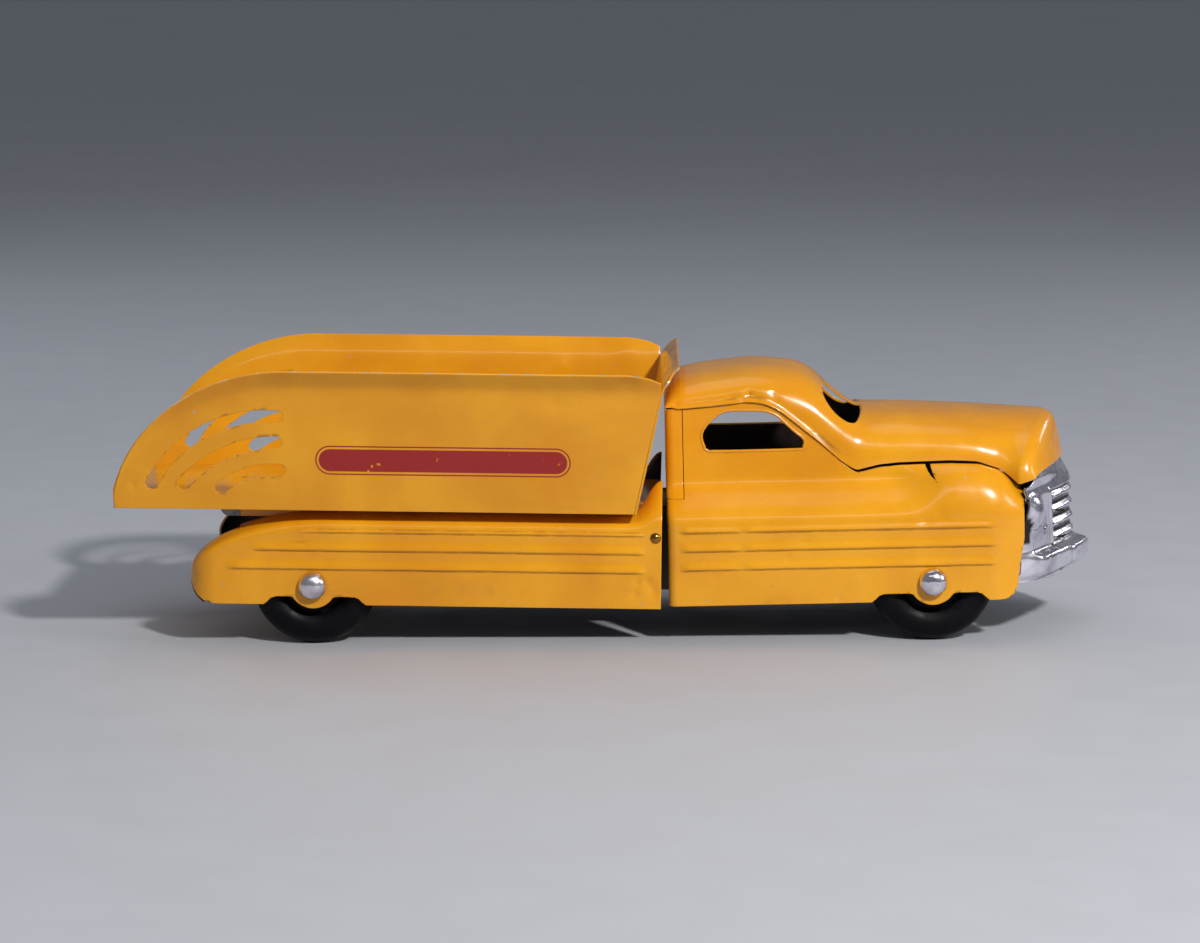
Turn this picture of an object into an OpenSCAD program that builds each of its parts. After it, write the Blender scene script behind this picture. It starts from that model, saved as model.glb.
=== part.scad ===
// Pressed-metal toy dump truck with a tipping bed
// +X is forward, +Z is up, the ground is z = 0, sizes in millimetres.

/* [Sheet metal] */
// thickness of the pressed sheet
sheet = 0.8; // [0.7:0.1:0.9]
// height of the three embossed ribs on each skirt
rib_height = 0.9; // [0.4:0.1:1.0]
// droop of the rear half towards the middle, in degrees
rear_pitch = 1.1; // [0.8:0.1:1.2]
// droop of the cab half towards the middle, in degrees
cab_pitch = 0.9; // [0.6:0.1:1.0]

/* [Wheels and axles] */
// outside diameter of the wheels
wheel_d = 44; // [43:0.5:44]
// thickness of the wheel's round rim section
rim_section = 12; // [11:0.5:12]
// diameter of the axles
axle_d = 4.4; // [4.0:0.1:4.6]
// diameter of the domed axle caps
cap_d = 10; // [9.4:0.1:10.2]
// height of the domed axle caps
cap_h = 3.8; // [3.4:0.1:4.2]

/* [Bed] */
// width of the bed floor
bed_width = 98; // [96:0.5:98]
// width over the outer edges of the bed's lip
lip_width = 117; // [114:0.5:117]
// width of the three slots in each bed wall
slot_width = 4.4; // [4:0.1:5]
// diameter of the pin that the bed tips on
hinge_d = 3; // [2.6:0.1:3.2]

/* [Hidden] */
$fn = 64;

enamel = [0.93, 0.62, 0.10];
nickel = [0.75, 0.74, 0.78];
black = [0.07, 0.07, 0.08];
steel = [0.45, 0.45, 0.47];

run = 0.1;            // radial running clearance of a turning fit
rear_x = -104.4;      // rear axle
front_x = 113;        // front axle
hub_z = wheel_d / 2;  // both axles
wheel_y = 38;         // middle of a wheel
skirt_half = 46.5;
skirt_z = 15;         // bottom edge of the skirts
lobe_r = 8.3;         // the lobe of the skirt about each axle
rib_z = [28, 34.7, 41.3];
rib_rows = [-1.8, -0.7, 0.7, 1.8];
skirt_rows = [hub_z - lobe_r, for (z = rib_z) for (d = rib_rows) z + d];
deck_z = 48.4;
deck_half = 35;
deck_end = -131;
shell_front = 17.8;
floor_z = 49;
bed_tip = -173.75;
bed_nose = 8;
bend_z = 92.6;
lip_z = 98.6;
wall_run = 60;        // length of the bed wall's rear curve
lean = 7;             // outward lean of the bed walls, degrees
hinge = [-136.5, 0, 45.6];
lug_y = 22;
bed_rivets = [for (s = [-1, 1]) [hinge[0] + 0.5, s * (lug_y - 3.4), floor_z + sheet]];
deck_rivets = [for (s = [-1, 1]) [deck_end + 5.5, s * (lug_y + 5), deck_z - sheet]];
channel_z = 17;       // bottom of the two channels
pin_x = 15.6;         // cross pin
pin_z = 40.2;
front_slope = 0.2043; // forward lean of the bed's front edge, run over rise

// ---- shared shapes ----

function smooth(t) = let (c = max(0, min(1, t))) c * c * (3 - 2 * c);
function unit(v) = v / norm(v);
function rib(x, z, starts) = rib_height * max([for (k = [0:2])
    abs(z - rib_z[k]) < 1 ? smooth((x - starts[k]) / 5) : 0]);

// half width of the cab's side at height z: skirt, shoulder, then door
function body_half(z) = z < 44 ? skirt_half :
    z < 59 ? 35 + 11.5 * (1 + cos(12 * (z - 44))) / 2 : 35 - 2.5 * (z - 59) / 24;

function normal_at(g, i, j) = unit(cross(
    g[min(i + 1, len(g) - 1)][j] - g[max(i - 1, 0)][j],
    g[i][min(j + 1, len(g[0]) - 1)] - g[i][max(j - 1, 0)]));

// a sheet of thickness t under a grid of points on its outer face
module pressed(g, t = sheet) {
    n = len(g);
    m = len(g[0]);
    k = n * m;
    outer = [for (i = [0:n - 1]) for (j = [0:m - 1]) g[i][j]];
    inner = [for (i = [0:n - 1]) for (j = [0:m - 1]) g[i][j] - t * normal_at(g, i, j)];
    skin = [for (i = [0:n - 2]) for (j = [0:m - 2])
        let (a = i * m + j, b = a + m, c = b + 1, d = a + 1)
        each [[a, d, c], [a, c, b], [k + a, k + c, k + d], [k + a, k + b, k + c]]];
    long_edges = [for (i = [0:n - 2])
        let (a = i * m, b = a + m, c = b + m - 1, d = a + m - 1)
        each [[a, b, k + b], [a, k + b, k + a], [c, d, k + d], [c, k + d, k + c]]];
    end_edges = [for (j = [0:m - 2])
        let (a = j, d = j + 1, b = (n - 1) * m + j, c = b + 1)
        each [[d, a, k + a], [d, k + a, k + d], [b, c, k + c], [b, k + c, k + b]]];
    polyhedron(concat(outer, inner), concat(skin, long_edges, end_edges));
}

module rear_half() {
    translate([rear_x, 0, hub_z]) rotate([0, rear_pitch, 0])
        translate([-rear_x, 0, -hub_z]) children();
}

module cab_half() {
    translate([front_x, 0, hub_z]) rotate([0, -cab_pitch, 0])
        translate([-front_x, 0, -hub_z]) children();
}

// a bar along Y, centred on y = 0
module across(x, z, r, length) {
    translate([x, length / 2, z]) rotate([90, 0, 0]) cylinder(r = r, h = length);
}

// what is cut away below a skirt: its bottom edge and the notch over a wheel, less the lobe
module arch(x, back, front) {
    difference() {
        union() {
            translate([x - 100, -60, 5]) cube([240, 120, skirt_z - 5]);
            translate([back, -60, skirt_z - 1]) cube([front - back, 120, 3.9]);
        }
        across(x, hub_z, lobe_r, 130);
    }
}

// ---- rear half ----

rib_starts = [-136, -127, -113.5];
tail_steps = 12;
tail_run = 48.4;
shell_x = [for (k = [tail_steps:-1:1]) -100 - tail_run * sin(90 * k / tail_steps),
           -100, -60, -20, 3, 7, 9.6, 12, 14, 16, shell_front];

// the fender's height falls along the tail, and its side turns in at the end
function tail(x) = let (u = max(0, min(1, (-100 - x) / tail_run)))
    pow(1 - pow(u, 1.8), 1 / 1.8);
function tail_half(x) = let (u = max(0, min(1, (-138.4 - x) / 10)))
    skirt_half - 9 * (1 - sqrt(1 - u * u));
function kick(x) = lookup(x, [[3, 0], [7, 0.03], [9.6, 0.12], [12, 0.43], [14, 0.74],
                              [16, 0.94], [shell_front, 1]]);

// the fender's top, as steps in from the skirt and up from the crease
shoulder = [[0.3, 1.3], [1.2, 2.5], [3, 3.4], [8, 4.7], [10.5, 5], [46.5, 5.2]];
kicked = [[0.2, 4], [2, 7.5], [5.5, 11.5], [9, 15], [11.5, 17], [46.5, 17]];

function shell_half(x) = let (f = tail(x), h = tail_half(x), k = kick(x), c = 24.7 + 17.3 * f)
    concat([for (i = [0:len(skirt_rows) - 1]) let (z = skirt_rows[i])
        [x, -h - rib(x, z, rib_starts) * smooth((12.5 - x) / 3), min(z, c - 0.3 * (12 - i))]],
    [for (j = [0:5]) let (p = shoulder[j] * (1 - k) + kicked[j] * k)
        [x, -max(0, h - p[0]), c + p[1] * (0.4 + 0.6 * f)]]);

function mirrored(row) = concat(row, [for (j = [len(row) - 2:-1:0])
    [row[j][0], -row[j][1], row[j][2]]]);

module deck() {
    length = shell_front - deck_end;
    difference() {
        translate([deck_end, -deck_half, deck_z - 4]) cube([length, 2 * deck_half, 4]);
        translate([deck_end - 1, sheet - deck_half, deck_z - 5])
            cube([length + 2, 2 * (deck_half - sheet), 5 - sheet]);
    }
}

module rear_shell() {
    color(enamel) rear_half() difference() {
        union() {
            difference() {
                pressed([for (x = shell_x) mirrored(shell_half(x))]);
                translate([deck_end - 1, sheet - deck_half, 40])
                    cube([160, 2 * (deck_half - sheet), 30]);
                translate([-155, -38.3, 10]) cube([155 + deck_end, 76.6, 50]);
            }
            deck();
        }
        arch(rear_x, -121, -86.5);
        difference() {
            translate([-150, -60, 12]) cube([11.6, 120, 13]);
            across(-138.4, 25, 10, 130);
        }
        across(rear_x, hub_z, axle_d / 2 + run, 120);
        across(pin_x, pin_z, 1.55, 120);
        for (p = deck_rivets) translate(p) cylinder(r = 1, h = 9, center = true);
    }
}

// an inverted channel from x0 to x1, open below
module channel(x0, x1, half, top) {
    difference() {
        translate([x0, -half, channel_z]) cube([x1 - x0, 2 * half, top - channel_z]);
        translate([x0 - 1, 1 - half, channel_z - 1])
            cube([x1 - x0 + 2, 2 * half - 2, top - channel_z]);
    }
}

module frame_channel() {
    color(steel) rear_half() difference() {
        channel(-70, 22, 20, deck_z - sheet);
        across(pin_x, pin_z, 1.55, 120);
    }
}

module cab_channel() {
    color(steel) difference() {
        cab_half() {
            channel(8, 94, 18.7, 45);
            difference() {
                translate([26, -45.3, 36]) cube([8, 90.6, 8]);
                translate([25, -44.3, 35]) cube([10, 88.6, 8]);
            }
        }
        rear_half() across(pin_x, pin_z, 1.55, 120);
    }
}

module cross_pin() {
    color(nickel) rear_half() {
        across(pin_x, pin_z, 1.5, 2 * skirt_half);
        for (s = [-1, 1])
            translate([pin_x, s * skirt_half, pin_z]) rotate([-90 * s, 0, 0]) intersection() {
                translate([0, 0, -1.4]) sphere(r = 2.4);
                cylinder(r = 3, h = 3);
            }
    }
}

// ---- cab half ----

seam_x = [26.6, 33, 40, 48, 54, 58, 64, 67, 70, 73.2, 76, 79, 82, 85, 87.5, 90, 92, 98,
          106, 118];
cab_x = concat([20.4, 20.8, 21.9, 23.4, 25], seam_x, [124, 130, 135, 139, 142, 144, 145.6]);
upper_rows = [0.06, 0.14, 0.22, 0.3, 0.38, 0.48, 0.6, 0.76, 0.88, 0.95, 1];

function seam(x) = lookup(x, [[20, 83], [26.8, 82.9], [39.8, 83.8], [48.6, 84.8],
    [53.9, 84.4], [57.4, 83.2], [60.9, 81.4], [67.8, 75.9], [74.7, 70.1], [81.7, 63.5],
    [87.5, 59.4], [95.4, 61.2], [102.4, 61.8], [119.9, 62.1], [130.4, 61.6],
    [137.4, 59.3], [140.9, 56.8], [144.4, 53.5], [146, 52.5]]);
function nose_in(x) = x > 132 ? 5 * pow((x - 132) / 13.6, 2) :
    x < 23.4 ? 3 * (1 - sqrt(1 - pow((23.4 - x) / 3, 2))) : 0;

// the side's half width above the skirt, t from 0 at the skirt to 1 at the seam: the door
// side passes into the full round crown of the fender
function upper_half(x, t) = let (k = smooth((x - 98) / 24))
    (1 - k) * body_half(43.4 + t * (seam(x) - 43.4))
    + k * (35 + 11.5 * pow(1 - pow(t, 2.2), 0.6));

window = [[34.3, 69], [33.1, 72.2], [33.3, 74.7], [34.8, 77.1], [36.9, 79.2], [39.8, 81.2],
          [43.3, 82.1], [53.8, 81.9], [57.3, 81.2], [60.1, 79.8], [62.5, 77.6], [66, 74.3],
          [68.7, 72.1], [69.4, 70.3], [68.7, 68.6], [66.9, 67.9], [36, 67.9]];

function cab_side_row(x) = concat(
    [for (z = skirt_rows)
        [x, nose_in(x) - skirt_half - rib(x, z, [24, 24, 24]) * smooth((136 - x) / 5), z]],
    [for (t = upper_rows) [x, nose_in(x) - upper_half(x, t), 43.4 + t * (seam(x) - 43.4)]]);

module cab_side() {
    difference() {
        pressed([for (x = cab_x) cab_side_row(x)]);
        translate([19, -60, 52]) cube([7.6, 60, 40]);
        translate([0, -20, 0]) rotate([90, 0, 0]) linear_extrude(30) polygon(window);
        arch(front_x, 92.2, 132);
        across(front_x, hub_z, axle_d / 2 + run, 120);
        rotate([90, 0, 0]) linear_extrude(60) polygon([[135, 12], [136.3, 15], [139.8, 15.6],
            [142.2, 17.7], [143.2, 21.9], [144.2, 29], [145.6, 36.1], [148, 36], [148, 12]]);
    }
}

module cab_side_right() {
    color(enamel) cab_half() cab_side();
}

module cab_side_left() {
    color(enamel) cab_half() mirror([0, 1, 0]) cab_side();
}

roof_x = concat([20.2, 20.8, 22.4, 24], seam_x, [128, 141.6, 152.4, 157.1, 159.6, 160.7,
                 161.7, 162.8, 163.4, 163.9]);
roof_steps = 9;

function roof_top(x) = lookup(x, [[20.2, 83.8], [20.8, 86.4], [22.4, 89.4], [24, 91.2],
    [26.3, 92.7], [33.6, 94.3], [48.1, 95.8], [55.3, 96], [66.1, 95], [69.7, 94.1],
    [73.2, 92.3], [76.8, 89.2], [83.9, 82.8], [88.6, 79.7], [91.8, 79.2], [105.5, 78.9],
    [127.2, 77.9], [141.6, 77], [152.4, 76.3], [157.1, 75.9], [159.6, 74.9], [160.7, 73.4],
    [161.7, 70.8], [162.8, 66], [163.4, 62.4], [163.9, 59.4]]);
function roof_power(x) = lookup(x, [[20, 2.6], [70, 2.8], [85, 3.2], [95, 2.6], [140, 2.3],
    [164, 2.1]]);
function bow(x) = 14 * smooth((x - 118) / 42);
function hood_edge(x) = seam(min(x, 143.6)) + 0.3 * max(0, x - 144.4);

function roof_row(x) = let (xs = x - bow(x), e = 2 / roof_power(x), zs = hood_edge(xs) + 0.3,
    ys = body_half(zs) + 3 * smooth((xs - 136) / 12), zt = max(roof_top(x), zs + 0.15))
    [for (k = [0:roof_steps]) let (a = 90 * k / roof_steps, y = ys * pow(cos(a), e))
        [x - bow(x) * pow(y / ys, 1.5), -y, zs + (zt - zs) * pow(sin(a), e)]];

// one half of the windscreen, as steps down its slope and out from the middle
pane_outline = [[-8, 3], [-8, 17], [-7.4, 22.5], [-6.2, 25.6], [-3.5, 28.2], [0, 29.5],
                [4, 29.8], [6.6, 29], [7.7, 27.2], [8, 25], [8, 3]];

module pane() {
    translate([82.5, 0, 82]) rotate([0, 45, 0]) translate([0, 0, -8])
        linear_extrude(16) polygon(pane_outline);
}

module roof_and_hood() {
    color(enamel) cab_half() difference() {
        pressed([for (x = roof_x) mirrored(roof_row(x))]);
        pane();
        mirror([0, 1, 0]) pane();
    }
}

back_rows = [52.8, 54, 56, 59, 71, 82.9];
back_turn = [0, 30, 60, 90];

function back_row(z, s) = [for (a = back_turn)
    [23.4 - 3 * sin(a), s * (body_half(z) - 3 + 3 * cos(a)), z]];
function back_loop(z) = let (l = back_row(z, 1), r = back_row(z, -1)) concat(
    [[26.4, body_half(z), z]], l, [for (k = [3:-1:0]) r[k]], [[26.4, -body_half(z), z]]);

module cab_back() {
    loops = [for (z = back_rows) back_loop(z)];
    color(enamel) cab_half()
        pressed([for (i = [0:len(loops[0]) - 1]) [for (j = [0:5]) loops[j][i]]]);
}

grille_y = [-40.4, -39.8, -39, -38, -36.5, -34, -31.5, -29, -26, -23.5, -22.5, -18, -16.4, -15.2,
            -8, -3, 0];
bars = 4;
bar_pitch = 4.9;
bar_z = 30.6;
grille_z = [20.5, 21.6, 22.8, 27.2, 28.6, 29.6, for (k = [0:bars - 1]) for (d = [0, 1.2, 2.4, 3.6])
    bar_z + k * bar_pitch + d, 50.2, 52.6, 55, 57.2, 58.6, 59.2];

function nose(y) = 21 * pow(abs(y) / 40, 1.25);
function nose_x(z) = lookup(z, [[20.5, 168.6], [21.6, 171.4], [22.8, 172.6], [27.2, 172.9],
    [28.6, 172.4], [29.6, 171.2], [30.6, 170.2], [45.8, 169.4], [49.6, 169.4], [52.6, 168.4],
    [55, 167.1], [59.2, 165]]);
function barred(y, z) = abs(y) < 23 && z > bar_z + 0.5 && z < 50 &&
    abs((z - bar_z) % bar_pitch - 1.8) < 0.9 ? 1.1 : 0;
function lamp(y, z) = let (d = norm([abs(y) - 35, z - 46.5]) / 6.4)
    d < 1 ? 3 * (1 - d * d) : 0;
function band(y, z) = smooth((30 - z) / 1.4)
    * (1.5 * smooth((40 - abs(y)) / 4) + 1.2 * smooth((16.4 - abs(y)) / 1.2));

// the side edges turn back up to the lamps, and further still beside the bumper
function turned(y, z) = pow(max(0, abs(y) - 38) / 2.4, 2)
    * (2.6 * smooth((49 - z) / 6) + 3.4 * smooth((33 - z) / 3));

// the top edge drops towards its corners, and the bumper hangs lower beside its middle block
function row_z(y, z) = z - 6 * smooth((abs(y) - 32) / 7) * max(0, z - 45) / 14.2
    - (2.9 - 0.045 * abs(y)) * smooth((abs(y) - 15.2) / 1.2) * smooth((32 - z) / 3);
function grille_point(y, z) = [nose_x(z) - nose(y) * (z > 54 ? 0.8 : 0.95) - turned(y, z)
    + barred(y, z) + lamp(y, z) + band(y, z) - 2.3, y, z];

module grille_and_bumper() {
    ys = concat(grille_y, [for (j = [len(grille_y) - 2:-1:0]) -grille_y[j]]);
    color(nickel) cab_half() pressed([for (y = ys) [for (z = grille_z) grille_point(y, row_z(y, z))]]);
}

// ---- wheels and axles ----

module axle(x) {
    color(steel) across(x, hub_z, axle_d / 2, 2 * skirt_half + 4);
}

module axle_caps(x) {
    r = (pow(cap_d / 2, 2) + pow(cap_h, 2)) / (2 * cap_h);
    color(nickel) for (s = [-1, 1])
        translate([x, s * (skirt_half + 0.8), hub_z]) rotate([-90 * s, 0, 0]) difference() {
            intersection() {
                translate([0, 0, cap_h - r]) sphere(r = r);
                cylinder(r = cap_d / 2 + 1, h = cap_h + 1);
            }
            translate([0, 0, -1]) cylinder(r = axle_d / 2, h = 2.5);
        }
}

module axle_spacer(x) {
    color(steel) difference() {
        across(x, hub_z, axle_d / 2 + 1.1, 61.2);
        across(x, hub_z, axle_d / 2, 70);
    }
}

module wheel(x, side) {
    r = rim_section / 2;
    color(black) translate([x, side * wheel_y, hub_z]) rotate([-90 * side, 0, 0]) difference() {
        union() {
            rotate_extrude() translate([wheel_d / 2 - r, 0]) circle(r = r);
            translate([0, 0, -2.6]) cylinder(r = wheel_d / 2 - r, h = 5.2);
            translate([0, 0, -6.9]) cylinder(r = 5, h = 14);
        }
        translate([0, 0, -10]) cylinder(r = axle_d / 2 + run, h = 20);
    }
}

module front_axle() {
    axle(front_x);
}

module rear_axle() {
    axle(rear_x);
}

module front_axle_caps() {
    axle_caps(front_x);
}

module rear_axle_caps() {
    axle_caps(rear_x);
}

module front_axle_spacer() {
    axle_spacer(front_x);
}

module rear_axle_spacer() {
    axle_spacer(rear_x);
}

module front_wheel_right() {
    wheel(front_x, -1);
}

module front_wheel_left() {
    wheel(front_x, 1);
}

module rear_wheel_right() {
    wheel(rear_x, -1);
}

module rear_wheel_left() {
    wheel(rear_x, 1);
}

// ---- bed ----

curve_steps = 18;
curve_x0 = bed_tip + wall_run;
// the rear curve of the wall's top edge, t runs from 0 at the tip to 1 at the straight lip
function curve_x(t) = curve_x0 - wall_run * cos(90 * t);
function curve_z(t, top) = floor_z + (top - floor_z) * pow(1 - pow(cos(90 * t), 1.88), 1 / 1.88);
function wall_y(z) = bed_width / 2 + (z - floor_z) * tan(lean);

wall_top = concat([for (k = [1:curve_steps]) let (t = k / curve_steps)
    [curve_x(t), (curve_z(t, bend_z) - floor_z) / cos(lean)]],
    [[bed_nose + front_slope * (bend_z - floor_z), (bend_z - floor_z) / cos(lean)]]);

// arcs of the three slots in a wall, as [centre x, centre height, radius, right end, left end]
slots = [[-119.4, -12.2, 46, 86, 153], [-115.8, -19.5, 44, 91, 140], [-118, -13.1, 27.6, 85, 132]];

module slot(s) {
    steps = 14;
    half = slot_width / 2;
    arc = [for (k = [0:steps]) s[3] + (s[4] - s[3]) * k / steps];
    end = s[2] * [cos(s[3]), sin(s[3])];
    translate([s[0], s[1]]) polygon(concat(
        [for (a = arc) (s[2] + half) * [cos(a), sin(a)]],
        [for (k = [steps:-1:0]) (s[2] - half) * [cos(arc[k]), sin(arc[k])]],
        [for (k = [1:7]) end - half * [cos(s[3] + 22.5 * k), sin(s[3] + 22.5 * k)]]));
}

module bed_side() {
    translate([0, sheet - bed_width / 2, floor_z]) rotate([90 + lean, 0, 0])
        linear_extrude(sheet) difference() {
            polygon(concat([[bed_nose, 0], [bed_tip, 0], [bed_tip, 3]], wall_top));
            for (s = slots) slot(s);
        }
    reach = lip_width / 2 - wall_y(bend_z);
    pressed(concat(
        [for (k = [2:curve_steps]) let (t = k / curve_steps, x = curve_x(t),
            z = curve_z(t, bend_z), w = lip_share(x))
            [[x, -wall_y(z), z - 0.5], [x - 0.25 * w, -wall_y(z) - w * reach, curve_z(t, lip_z)]]],
        [for (e = [[2, 0, 0], [9, 0.9, 0.7], [13, 2, 2], [16, 3.2, 4.4]])
            [[e[0], -wall_y(bend_z), bend_z - 0.5], [e[0] + 0.5, e[1] - lip_width / 2, lip_z - e[2]]]]));
}

function lip_share(x) = lookup(x, [[bed_tip, 0.05], [-168, 0.25], [-156, 0.45], [-142, 0.7],
    [curve_x0, 1]]);

module bed_tub() {
    color(enamel) rear_half() {
        difference() {
            translate([bed_tip, -bed_width / 2, floor_z])
                cube([bed_nose - bed_tip, bed_width, sheet]);
            for (p = bed_rivets) translate(p) cylinder(r = 1, h = 9, center = true);
        }
        bed_side();
        mirror([0, 1, 0]) bed_side();
    }
}

module bed_front() {
    h = 46;
    lean_x = atan(front_slope);
    up = h / cos(lean_x);
    b = bed_width / 2;
    t = wall_y(floor_z + h);
    color(enamel) rear_half() translate([bed_nose + 0.05, 0, floor_z]) rotate([0, lean_x, 0]) {
        rotate([90, 0, 90]) linear_extrude(sheet)
            polygon([[-b, 0], [b, 0], [t, up], [-t, up]]);
        translate([0, 0, up - 0.3]) rotate([0, 32, 0]) rotate([90, 0, 90]) linear_extrude(sheet)
            polygon([[-t, 0], [t, 0], [t - 10, 7.6], [10 - t, 7.6]]);
    }
}

// one ear about the hinge pin, t thick from y outwards, joined to a flat foot
module ear(y, t, hole, shape) {
    translate([hinge[0], y + t, hinge[2]]) rotate([90, 0, 0]) linear_extrude(t)
        difference() {
            union() {
                circle(r = 3);
                polygon(shape);
            }
            circle(r = hole);
        }
}

module bed_lugs() {
    top = floor_z - hinge[2];
    color(steel) rear_half() difference() {
        for (s = [-1, 1]) {
            ear(s * lug_y - 0.6, 1.2, hinge_d / 2 + run,
                [[-3, 0], [0, -3], [4, -0.5], [4, top], [-3, top]]);
            translate([hinge[0] - 3, s * (lug_y - 3.4) - 2.8, floor_z - 1]) cube([7, 5.6, 1]);
        }
        for (p = bed_rivets) translate(p) cylinder(r = 1, h = 9, center = true);
    }
}

module deck_lugs() {
    under = deck_z - sheet - hinge[2];
    color(steel) rear_half() difference() {
        for (s = [-1, 1]) {
            ear(s * (lug_y + 1.6) - 0.6, 1.2, hinge_d / 2,
                [[0, -3], [16, -3], [16, under], [5.5, under], [0, 3]]);
            translate([deck_end + 1, s * (lug_y + 4.6) - 3, deck_z - sheet - 1])
                cube([9.5, 6, 1]);
        }
        for (p = deck_rivets) translate(p) cylinder(r = 1, h = 9, center = true);
    }
}

module hinge_pin() {
    color(nickel) rear_half() {
        across(hinge[0], hinge[2], hinge_d / 2, 2 * lug_y + 5.4);
        for (s = [-1, 1]) translate([0, s * (lug_y + 3.1), 0])
            across(hinge[0], hinge[2], hinge_d / 2 + 0.9, 0.8);
    }
}

// a rivet with its head down at z = 0 and its shank length long above, ending flush
module rivet(length) {
    cylinder(r = 1, h = length);
    intersection() {
        translate([0, 0, 1.8]) sphere(r = 2.4);
        translate([0, 0, -2]) cylinder(r = 3, h = 2);
    }
}

module bed_lug_rivets() {
    color(nickel) rear_half() for (p = bed_rivets) translate(p - [0, 0, sheet + 1])
        rivet(sheet + 1);
}

module deck_lug_rivets() {
    color(nickel) rear_half() for (p = deck_rivets) translate(p - [0, 0, 1]) rivet(sheet + 1);
}

rear_shell();
frame_channel();
cab_channel();
cross_pin();
cab_side_right();
cab_side_left();
roof_and_hood();
cab_back();
grille_and_bumper();
front_axle();
rear_axle();
front_axle_caps();
rear_axle_caps();
front_axle_spacer();
rear_axle_spacer();
front_wheel_right();
front_wheel_left();
rear_wheel_right();
rear_wheel_left();
bed_tub();
bed_front();
bed_lugs();
deck_lugs();
hinge_pin();
bed_lug_rivets();
deck_lug_rivets();
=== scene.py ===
import math
from contextlib import contextmanager

import bmesh
import bpy
import numpy as np
from mathutils import Matrix, Vector, noise
from mathutils.bvhtree import BVHTree


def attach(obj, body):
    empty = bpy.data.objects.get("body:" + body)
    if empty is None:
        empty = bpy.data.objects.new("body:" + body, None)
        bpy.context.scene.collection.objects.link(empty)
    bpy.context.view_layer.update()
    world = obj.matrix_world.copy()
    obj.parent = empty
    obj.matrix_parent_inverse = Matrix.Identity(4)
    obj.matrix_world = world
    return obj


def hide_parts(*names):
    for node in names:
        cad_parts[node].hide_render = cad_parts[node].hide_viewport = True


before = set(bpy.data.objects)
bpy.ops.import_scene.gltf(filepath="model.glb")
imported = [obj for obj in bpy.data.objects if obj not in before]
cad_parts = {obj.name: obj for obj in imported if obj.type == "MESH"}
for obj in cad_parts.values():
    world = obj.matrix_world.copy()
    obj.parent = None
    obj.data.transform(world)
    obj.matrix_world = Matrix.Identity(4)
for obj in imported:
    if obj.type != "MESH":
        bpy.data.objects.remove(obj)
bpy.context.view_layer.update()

MM = 0.001
HUB_Z = 22.0
REAR_X, FRONT_X = -104.4, 113.0
RIBS = (28.0, 34.7, 41.3)
SKIRT_HALF = 46.5
SHEET = 0.8


# ---- camera, lights and floor ----

def make_camera():
    az, el, roll = (math.radians(v) for v in (0.90, 8.88, 0.50))
    back = Vector((math.sin(az) * math.cos(el), -math.cos(az) * math.cos(el), math.sin(el)))
    right = (-back).cross(Vector((0, 0, 1))).normalized()
    up = right.cross(-back)
    x_axis = right * math.cos(roll) - up * math.sin(roll)
    y_axis = right * math.sin(roll) + up * math.cos(roll)
    data = bpy.data.cameras.new("camera")
    data.sensor_width = 36.0
    data.lens = 97.61
    cam = bpy.data.objects.new("camera", data)
    bpy.context.scene.collection.objects.link(cam)
    matrix = Matrix((x_axis, y_axis, back)).transposed().to_4x4()
    matrix.translation = Vector((-0.004, 0.0, 0.0545)) + back * 1.181
    cam.matrix_world = matrix
    bpy.context.scene.camera = cam


def area_light(name, direction, distance, size, power, colour, height=0.0):
    data = bpy.data.lights.new(name, "AREA")
    data.shape = "RECTANGLE" if height else "DISK"
    data.size = size
    data.size_y = height or size
    data.energy = power
    data.color = colour
    light = bpy.data.objects.new(name, data)
    toward = Vector(direction).normalized()
    light.location = toward * distance + Vector((0, 0, 0.05))
    light.rotation_mode = "QUATERNION"
    light.rotation_quaternion = toward.to_track_quat("Z", "Y")
    bpy.context.scene.collection.objects.link(light)


def make_stage():
    area_light("key", (0.42, -0.72, 0.62), 1.6, 0.14, 21, (1.0, 0.97, 0.92))
    area_light("strip", (0.02, -0.75, 0.66), 1.6, 1.4, 1.8, (1.0, 0.98, 0.95), 0.14)
    area_light("right", (0.75, 0.58, 0.31), 1.5, 0.55, 1.5, (0.96, 0.94, 1.0), 0.16)
    area_light("top", (-0.15, 0.25, 1.0), 1.5, 1.3, 3.0, (0.95, 0.97, 1.0))
    area_light("side", (1.0, -0.35, 0.42), 1.5, 0.4, 3.2, (1.0, 0.98, 0.95))
    area_light("rear", (-0.8, 0.7, 0.7), 1.7, 0.9, 2.5, (0.93, 0.96, 1.0))
    world = bpy.data.worlds.new("studio")
    world.use_nodes = True
    sky = world.node_tree.nodes["Background"]
    sky.inputs["Color"].default_value = (0.80, 0.84, 0.92, 1)
    sky.inputs["Strength"].default_value = 0.20
    bpy.context.scene.world = world
    bpy.context.scene.view_settings.view_transform = "Standard"
    mesh = bpy.data.meshes.new("floor")
    ring = [(30 * math.cos(a), 30 * math.sin(a), 0)
            for a in np.linspace(0, 2 * math.pi, 64, endpoint=False)]
    mesh.from_pydata(ring, [], [tuple(range(64))])
    floor = bpy.data.objects.new("floor", mesh)
    bpy.context.scene.collection.objects.link(floor)
    mesh.materials.append(floor_material())


# ---- materials ----

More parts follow.
